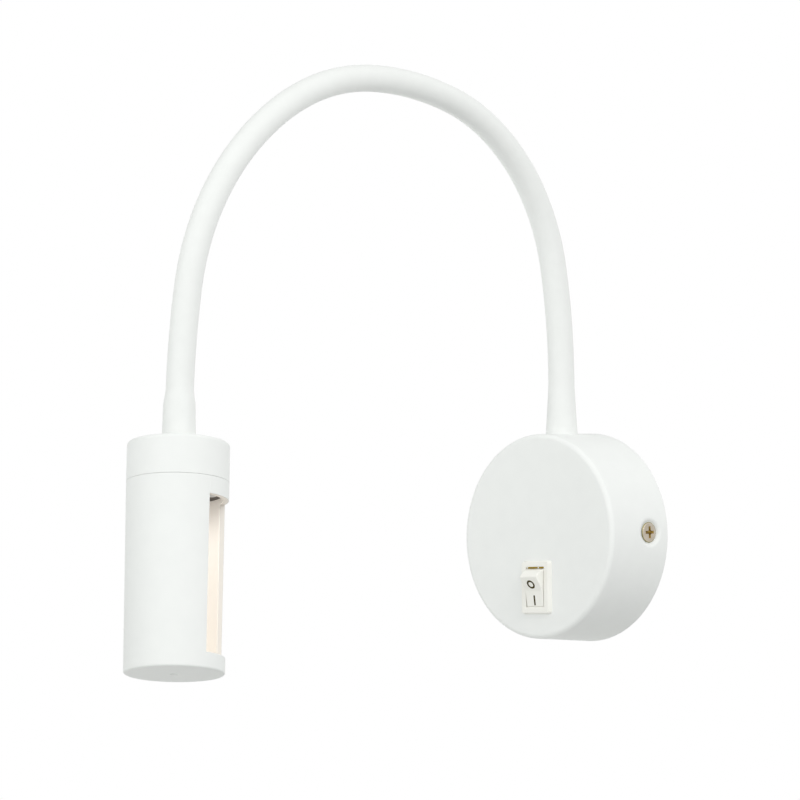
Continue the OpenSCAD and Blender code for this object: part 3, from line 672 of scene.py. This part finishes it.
# the two side screws, with a cross recess
screw = {
    "head": 7.75,
    "rim": 0.22,
    "height": 0.72,
    "shoulder": (0.80, 0.14),  # share of the head's radius, drop from its middle
    "thread": 4.0,
    "length": 8.0,
    "edges": {1: 0.6, 2: 0.15, 3: 0.05, 5: 0.5},
    "turns": 72,
    "crease": 30,
    "lift": 0.2,  # above the dish's floor
    "crossReach": 2.25,
    "crossWidth": 1.08,
    "crossDepth": 0.72,
    "crossRise": 0.45,  # share of the depth that is lost at the ends of the arms
    "crossEnd": 0.80,
    "crossFoot": 0.4,
    "crossCorner": 1.42,  # how far the cut between two arms reaches
    "domeOver": 0.2,  # the dome starts this far over the rim
    "rimOver": 0.12,  # and the rim's darker coat, painted shade, ends this far over it
    "slant": 0.3,  # of the faces between two arms, that keep the painted glint
    "angles": {-1: 24.0, 1: 2.0},
}


def makeScrews():
    whole = bmesh.new()
    half, top, length = screw["head"] / 2, screw["height"], screw["length"]
    shank = screw["thread"] / 2
    share, drop = screw["shoulder"]
    seat = coverRadius(cover["screwFromWall"]) - cover["dishDepth"] + screw["lift"]
    for side, angle in screw["angles"].items():
        bm = bmesh.new()
        corners = [(0, top), (half * share, top - drop), (half, screw["rim"]), (half, 0),
                   (shank, 0), (shank, -length), (0, -length)]
        verts, edges = sectionLoop(bm, corners, screw["edges"])
        turnLoop(bm, verts, dropAxis(bm, edges), screw["turns"])
        cutCross(bm)
        at = Matrix.Translation((side * seat, cover["screwRise"], cover["screwFromWall"]))
        out = Matrix.Rotation(side * math.pi / 2, 4, "Y")
        joinInto(whole, bm, at @ out @ Matrix.Rotation(math.radians(angle), 4, "Z"))
    coats = [finishes["nickel_screw"], accents["recessBrassShade"], accents["rim"]]
    piece = wrapUp("cover_screws", whole, onWall, coats, "base", screw["crease"])
    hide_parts("side_screws")


def cutCross(bm):
    half, reach, corner = screw["crossWidth"] / 2, screw["crossReach"], screw["crossCorner"]
    end, foot = screw["crossEnd"], screw["crossFoot"]

    def dome():
        return [f for f in bm.faces if f.calc_center_median().z > screw["rim"] + screw["domeOver"]]

    def inCross(point):
        x, y = abs(point.x), abs(point.y)
        return (x < half and y < reach) or (y < half and x < reach) or x + y < corner

    for axis in (Vector((1, 0, 0)), Vector((0, 1, 0))):
        for offset in (-reach, -half, half, reach):
            sliceFaces(bm, dome(), axis * offset, axis)
    for across in (Vector((1, 1, 0)), Vector((1, -1, 0))):
        for offset in (-corner / 2, corner / 2):
            sliceFaces(bm, dome(), across * offset, across)
    cross = [f for f in dome() if inCross(f.calc_center_median())]
    floor = newVerts(bmesh.ops.extrude_face_region(bm, geom=cross))
    bmesh.ops.delete(bm, geom=[f for f in cross if f.is_valid], context="FACES_ONLY")
    for v in floor:
        outwards = max(abs(v.co.x), abs(v.co.y)) / reach
        v.co.x *= end if abs(v.co.x) > half + slack else foot
        v.co.y *= end if abs(v.co.y) > half + slack else foot
        v.co.z -= screw["crossDepth"] * (1 - screw["crossRise"] * outwards)
    sunk = set(floor)
    bm.normal_update()
    for f in bm.faces:
        if any(v in sunk for v in f.verts):
            # the cuts between the arms keep the head's pale nickel as a painted glint, the rest of
            # the recess takes the dark coat of painted shade
            paintedGlint = min(abs(f.normal.x), abs(f.normal.y)) > screw["slant"]
            f.material_index = 0 if paintedGlint else 1
        # the rim takes the olive coat of painted shade
        elif f.calc_center_median().z < screw["rim"] + screw["rimOver"]:
            f.material_index = 2


makeScrews()
print("side screws set")


# rocker switch, snapped into the front of the cover
switch = {
    "bezel": (15.0, 20.3),
    "bezelCorner": 1.0,
    "front": (13.8, 19.5),
    "frontCorner": 0.9,
    "frontEdge": (0.22, 3),  # rounding, steps
    "proud": 1.6,
    "opening": (9.5, 15.45),
    "openingCorner": 0.25,
    "openingRise": 0.09,
    "openingEdge": (0.15, 2),
    "well": 7.0,
    # depth under the front where the well's painted shade starts
    "lip": 2.5,
    "body": (13.0, 19.2),
    "bodyCorner": 0.3,
    "bodyDepth": 14.0,
    "upperLedge": (0.65, 0.65),  # width, depth under the front
    "lowerLedge": (0.27, 0.36),
    "contacts": ((-3.95, 1.0), (1.75, 4.45)),  # ends of the strips in the well's dark brass tone, painted shade
    "contactUnder": 0.55,
    "stripThickness": 0.3,
    "overlap": 0.1,
    "clip": (6.5, 1.8, 4.0),
    "clipIn": 4.1,
    "clipSlope": 0.8,
    "crease": 35,
    "pivotIn": 0.7,
    "pin": (2.6, 11.8),
    "pinSides": 32,
    "rockerRadius": 7.4,
    "rockerDrop": 0.15,
    "rockerWidth": 9.42,
    "rockerTaper": 0.0125,
    "rockerSteps": 16,
    "rockerValley": (0.7, 5),
    "rockerEdge": (0.3, 3),
    "rockerCrease": 32,
    "valley": 3.1,
    "wedge": 12.5,
    "tilt": 20.5,
    "skirt": 1.8,
    "ringWidth": 3.7,
    "ringAt": 2.76,
    "ringTurns": 64,
    "barLength": 3.8,
    "barAt": 3.75,
    "barCorner": 0.1,
    "stroke": 0.76,
    "inkLevels": (-0.05, 0.03),
}
atSwitch = onWall @ Matrix.Translation((0, -cover["switchDrop"], cover["depth"]))
atPivot = Matrix.Translation((0, -switch["rockerDrop"], -switch["pivotIn"]))
atRocker = atSwitch @ atPivot @ Matrix.Rotation(math.radians(switch["tilt"]), 4, "X")


def outline(bm, size, level, corner, filled=False):
    # rounded rectangle at a level, as a loop of edges
    known = set(bm.faces)
    verts = bmesh.ops.create_grid(bm, x_segments=1, y_segments=1, size=0.5)["verts"]
    bmesh.ops.scale(bm, vec=(*size, 1), verts=verts)
    bmesh.ops.translate(bm, vec=(0, 0, level), verts=verts)
    bmesh.ops.bevel(bm, geom=verts, offset=corner, affect="VERTICES", segments=4,
                    profile=0.5, material=-1)
    face = [f for f in bm.faces if f not in known][0]
    edges = list(face.edges)
    if not filled:
        bmesh.ops.delete(bm, geom=[face], context="FACES_ONLY")
    return edges


def makeHousing():
    bm = bmesh.new()
    proud, lip, well = switch["proud"], switch["lip"], switch["well"]
    opening, rise, body = switch["opening"], switch["openingRise"], switch["body"]
    foot = outline(bm, switch["bezel"], 0, switch["bezelCorner"])
    front = outline(bm, switch["front"], proud, switch["frontCorner"])
    mouth = outline(bm, opening, proud, switch["openingCorner"])
    step = outline(bm, opening, proud - lip, switch["openingCorner"])
    floor = outline(bm, opening, -well, switch["openingCorner"], filled=True)
    collar = outline(bm, body, 0, switch["bodyCorner"])
    back = outline(bm, body, -switch["bodyDepth"], switch["bodyCorner"], filled=True)
    # the flat rings come first, joined later they would twist
    for one, other in ((front, mouth), (foot, collar), (foot, front), (mouth, step),
                       (step, floor), (collar, back)):
        bmesh.ops.bridge_loops(bm, edges=one + other)
    inner = dict.fromkeys(v for e in mouth + step + floor for v in e.verts)
    bmesh.ops.translate(bm, vec=(0, rise, 0), verts=list(inner))
    # faces deeper than the lip in the well get the dark brass coat of painted shade
    for f in bm.faces:
        x, y, z = f.calc_center_median()
        inside = abs(x) < opening[0] / 2 + slack and abs(y - rise) < opening[1] / 2 + slack
        if inside and -well - slack < z < proud - lip:
            f.material_index = 1
    soften(bm, front, *switch["frontEdge"])
    soften(bm, [e for e in mouth if e.is_valid], *switch["openingEdge"])
    addLedges(bm)
    addClips(bm)
    coats = [finishes["switch_plastic"], accents["well"]]
    piece = wrapUp("switch_body", bm, atSwitch, coats, "base", switch["crease"])
    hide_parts("switch_housing")


def addLedges(bm):
    # narrow strips over and under the rocker, two of them in the well's dark brass tone of painted
    # shade
    wide, high = (size / 2 for size in switch["opening"])
    past, thick = switch["overlap"], switch["stripThickness"]
    across = (-wide - past, wide + past)
    upper, upperUnder = switch["upperLedge"]
    lower, lowerUnder = switch["lowerLedge"]
    top = (high - upper, high + past)
    strips = [(across, top, upperUnder, 0), (across, (-high - past, lower - high), lowerUnder, 0)]
    strips += [(contact, top, switch["contactUnder"], 1) for contact in switch["contacts"]]
    for (left, right), (low, up), under, coat in strips:
        strip = bmesh.new()
        bmesh.ops.create_cube(strip, size=1)
        bmesh.ops.scale(strip, vec=(right - left, up - low, thick), verts=strip.verts)
        at = ((left + right) / 2, switch["openingRise"] + (low + up) / 2,
              switch["proud"] - under - thick / 2)
        bmesh.ops.translate(strip, vec=at, verts=strip.verts)
        for f in strip.faces:
            f.material_index = coat
        joinInto(bm, strip, Matrix())


def addClips(bm):
    # wedges that click in behind the front of the cover
    for turn in (math.pi, 0.0):
        clip = bmesh.new()
        verts = bmesh.ops.create_cube(clip, size=1)["verts"]
        bmesh.ops.scale(clip, vec=switch["clip"], verts=verts)
        for v in verts:
            if v.co.y > 0 and v.co.z < 0:
                v.co.y -= switch["clipSlope"]
        at = (0, switch["body"][1] / 2 - switch["overlap"], -switch["clipIn"])
        bmesh.ops.translate(clip, vec=at, verts=verts)
        joinInto(bm, clip, Matrix.Rotation(turn, 4, "Z"))


def makeRocker():
    bm = bmesh.new()
    radius, skirt, valley = switch["rockerRadius"], switch["skirt"], switch["valley"]
    width = switch["rockerWidth"]
    slope = math.tan(math.radians(switch["wedge"]))
    # ridge, where a face meets the arc of its end
    a, b, c = 1 + slope ** 2, 2 * valley * slope, valley ** 2 - radius ** 2
    ridgeUp = (-b + math.sqrt(b * b - 4 * a * c)) / (2 * a)
    top = math.atan2(valley + slope * ridgeUp, ridgeUp)
    low = math.asin(-skirt / radius)
    middle = bm.verts.new((-width / 2, 0, valley))
    under = bm.verts.new((-width / 2, 0, -skirt))
    ridge = bm.verts.new((-width / 2, radius * math.cos(top), radius * math.sin(top)))
    bmesh.ops.spin(bm, geom=[ridge], cent=(0, 0, 0), axis=(1, 0, 0), dvec=(0, 0, 0),
                   angle=low - top, steps=switch["rockerSteps"])
    arc = sorted((v for v in bm.verts if v.co.y > slack), key=lambda v: -v.co.z)
    half = bm.faces.new([middle] + arc + [under])
    far = newVerts(bmesh.ops.extrude_face_region(bm, geom=[half]))
    bmesh.ops.translate(bm, vec=(width, 0, 0), verts=far)
    inner = [f for f in bm.faces if all(abs(v.co.y) < weldGap for v in f.verts)]
    bmesh.ops.delete(bm, geom=inner, context="FACES_ONLY")
    bmesh.ops.mirror(bm, geom=bm.verts[:] + bm.edges[:] + bm.faces[:], matrix=Matrix(),
                     merge_dist=weldGap, axis="Y")
    bmesh.ops.remove_doubles(bm, verts=bm.verts, dist=weldGap)
    bmesh.ops.recalc_face_normals(bm, faces=bm.faces)
    for v in bm.verts:
        v.co.x *= 1 - switch["rockerTaper"] * (v.co.z + skirt)
    crease = [e for e in bm.edges if e.is_manifold
              and all(abs(v.co.y) < weldGap and v.co.z > 0 for v in e.verts)]
    soften(bm, crease, *switch["rockerValley"])
    limit = math.radians(switch["rockerCrease"])
    sharp = [e for e in bm.edges if e.is_manifold and e.calc_face_angle() > limit]
    soften(bm, sharp, *switch["rockerEdge"])
    pin = bmesh.new()
    thick, length = switch["pin"]
    bmesh.ops.create_cone(pin, cap_ends=True, segments=switch["pinSides"], radius1=thick / 2,
                          radius2=thick / 2, depth=length)
    joinInto(bm, pin, Matrix.Rotation(math.pi / 2, 4, "Y"))
    coats = [finishes["switch_plastic"]]
    piece = wrapUp("rocker_key", bm, atRocker, coats, "rocker", switch["crease"])
    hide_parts("rocker")


def makeMarks():
    # ring and bar for off and on, in ink on the rocker's two faces
    bm = bmesh.new()
    lean = math.radians(switch["wedge"])
    low, high = switch["inkLevels"]

    def onFace(along):
        up = switch["valley"] + abs(along) * math.sin(lean)
        at = Matrix.Translation((0, along * math.cos(lean), up))
        return at @ Matrix.Rotation(math.copysign(lean, along), 4, "X")

    ring = bmesh.new()
    outer = switch["ringWidth"] / 2
    inner = outer - switch["stroke"]
    corners = [(inner, low), (outer, low), (outer, high), (inner, high)]
    verts, edges = sectionLoop(ring, corners, {})
    turnLoop(ring, verts, edges, switch["ringTurns"])
    joinInto(bm, ring, onFace(switch["ringAt"]))
    bar = bmesh.new()
    size = switch["stroke"], switch["barLength"]
    ends = [outline(bar, size, level, switch["barCorner"], filled=True) for level in (low, high)]
    bmesh.ops.bridge_loops(bar, edges=ends[0] + ends[1])
    joinInto(bm, bar, onFace(-switch["barAt"]))
    piece = wrapUp("rocker_marks", bm, atRocker, [accents["mark"]], "rocker")


makeHousing()
makeRocker()
makeMarks()
print("switch fitted")


# head, a cap and a shade with the light slot, measured down from the cap's top
head = {
    "radius": 18.2,
    "endRadius": 17.8,
    "crease": 40,
    "capHeight": 14.11,
    "capWall": 2.0,
    "capTop": 2.5,
    "capEdges": {1: 1.3, 2: 0.1, 3: 0.2, 4: 0.5},
    "capTurns": 180,
    "shankHole": 4.2,
    "postAngles": (-32.5, 147.5),
    "postWidth": 5.4,
    "postBore": 2.5,
    "postAt": 11.95,
    "postEnd": 8.9,
    "postOverlap": 0.5,
    "postEdge": 0.2,
    "postTurns": 40,
    "shadeTop": 14.19,
    "shadeEnd": 82.4,
    "shadeInner": 15.9,
    "shadeFloor": 2.5,
    "shadeEdges": {0: 0.2, 1: 0.08, 4: 0.8, 5: 0.12, 6: 0.2, 9: 0.6},
    "shadeTurns": 360,
    "slotTop": 20.5,
    "slotEnd": 76.5,
    "slotFrom": 4.0,
    "slotSpan": 73.0,
    "slotEdge": (0.22, 2),
    "slotCrease": 0.5,  # in radians
    "skin": 0.4,  # what lies less deep belongs to the outer face
    "liningSkin": 0.3,
    "topSkin": 0.1,
    "dimple": (1.45, 0.7),  # radius, depth
    "dimpleFoot": (0.86, 0.85),  # shares of both where its wall ends
    # painted glow: the lamp's light on its lining, emitted by the lining itself: depth, level
    "paintedGlow": [(18.5, 0.12), (23.0, 0.21), (28.0, 0.33), (32.0, 0.37), (37.0, 0.355),
             (42.0, 0.30), (50.0, 0.25), (60.0, 0.215), (80.0, 0.18)],
    "paintedGlowColour": (1.0, 0.965, 0.915),
    # cream tint of the lining: painted warm lamp light on the white moulding
    "lining": ((0.845, 0.808, 0.757), (0.865, 0.830, 0.780), 0.42, 0.5, 0.006),
}


def makeCap():
    bm = bmesh.new()
    outer, hole, top, end = head["radius"], head["shankHole"], head["capTop"], head["capHeight"]
    inner = outer - head["capWall"]
    corners = [(hole, 0), (outer, 0), (outer, end), (inner, end), (inner, top), (hole, top)]
    verts, edges = sectionLoop(bm, corners, head["capEdges"])
    turnLoop(bm, verts, edges, head["capTurns"])
    half, bore, past = head["postWidth"] / 2, head["postBore"] / 2, head["postOverlap"]
    deep = head["postEnd"] - top + past
    for angle in head["postAngles"]:
        post = bmesh.new()
        corners = [(bore, 0), (half, 0), (half, deep), (bore, deep)]
        verts, edges = sectionLoop(post, corners, {2: head["postEdge"]})
        turnLoop(post, verts, edges, head["postTurns"])
        turn = Matrix.Rotation(math.radians(angle), 4, "Z")
        joinInto(bm, post, turn @ Matrix.Translation((head["postAt"], 0, top - past)))
    coats = [finishes["white_plastic"]]
    piece = wrapUp("cap_shell", bm, headFrame, coats, "head", head["crease"])
    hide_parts("head_cap")


def paintedGlowFinish(name):
    # cream lining with the lamp's light painted on as its own glow, brightest a little under the
    # lens
    finish = grainFinish(name, *head["lining"])
    tree = finish.node_tree
    shader = tree.nodes["Principled BSDF"]
    axis = headFrame.to_3x3().col[2]
    where = tree.nodes.new("ShaderNodeTexCoord")
    down = tree.nodes.new("ShaderNodeVectorMath")
    down.operation = "DOT_PRODUCT"
    down.inputs[1].default_value = axis
    tree.links.new(where.outputs["Object"], down.inputs[0])
    start = headFrame.translation.dot(axis)
    stops = [(start + at) * mm for at, level in head["paintedGlow"]]
    span = spanNode(tree, down.outputs["Value"], (stops[0], stops[-1]), (0, 1))
    ramp = tree.nodes.new("ShaderNodeValToRGB")
    while len(ramp.color_ramp.elements) < len(stops):
        ramp.color_ramp.elements.new(0.5)
    for element, stop, (at, level) in zip(ramp.color_ramp.elements, stops, head["paintedGlow"]):
        element.position = (stop - stops[0]) / (stops[-1] - stops[0])
        element.color = (*(level * c for c in head["paintedGlowColour"]), 1)
    tree.links.new(span, ramp.inputs["Fac"])
    tree.links.new(ramp.outputs["Color"], shader.inputs["Emission Color"])
    shader.inputs["Emission Strength"].default_value = 1
    return finish


def shadeRadius(down):
    # the shade narrows a little towards its closed end
    share = (down - head["shadeTop"]) / (head["shadeEnd"] - head["shadeTop"])
    return head["radius"] + (head["endRadius"] - head["radius"]) * share


def makeShade():
    bm = bmesh.new()
    inner, top, end = head["shadeInner"], head["shadeTop"], head["shadeEnd"]
    slotTop, slotEnd = head["slotTop"], head["slotEnd"]
    dip, sunk = head["dimple"]
    dipShare, sunkShare = head["dimpleFoot"]
    floor = end - head["shadeFloor"]
    outside = [(shadeRadius(down), down) for down in (slotTop, slotEnd)]
    corners = [(inner, top), (head["radius"], top), *outside, (head["endRadius"], end),
               (dip, end), (dip * dipShare, end - sunk * sunkShare),
               (0, end - sunk), (0, floor), (inner, floor), (inner, slotEnd), (inner, slotTop)]
    verts, edges = sectionLoop(bm, corners, head["shadeEdges"])
    turnLoop(bm, verts, dropAxis(bm, edges), head["shadeTurns"], start=head["slotFrom"])
    cutSlot(bm)
    # lining faces take the painted glow, the slot's cut faces the greyer cream of painted shade
    for f in bm.faces:
        middle = f.calc_center_median()
        out = middle.xy.length
        within = top + head["topSkin"] < middle.z < floor + slack
        if within and out < shadeRadius(middle.z) - head["skin"]:
            f.material_index = 1 if out < inner + head["liningSkin"] else 2
    coats = [finishes["white_plastic"], paintedGlowFinish("shade_lining_painted_glow"), accents["edge"]]
    piece = wrapUp("shade_tube", bm, headFrame, coats, "shade", head["crease"])
    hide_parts("shade")


def cutSlot(bm):
    # the light slot runs backwards from its near edge
    def inSlot(point):
        back = (head["slotFrom"] - math.degrees(math.atan2(point.y, point.x))) % 360
        return (back < head["slotSpan"] and head["slotTop"] < point.z < head["slotEnd"]
                and point.xy.length > head["shadeInner"] - head["liningSkin"])

    gone = [f for f in bm.faces if inSlot(f.calc_center_median())]
    bmesh.ops.delete(bm, geom=gone, context="FACES")
    rims = [e for e in bm.edges if e.is_boundary]
    bmesh.ops.bridge_loops(bm, edges=rims)
    bmesh.ops.recalc_face_normals(bm, faces=bm.faces)
    lips = [e for e in rims if e.is_valid and e.calc_face_angle(0) > head["slotCrease"]]
    soften(bm, lips, *head["slotEdge"])


makeCap()
makeShade()
print("head turned, slot", head["slotSpan"], "degrees wide")


# inner parts keep the shapes they came with
slots = {part["node"]: part["material_slot"] for part in frame["record"]["subparts"]}
for name, node in frame["nodes"].items():
    node.data.materials.clear()
    node.data.materials.append(finishes[slots[name]])
print("inner parts coated:", len(slots))
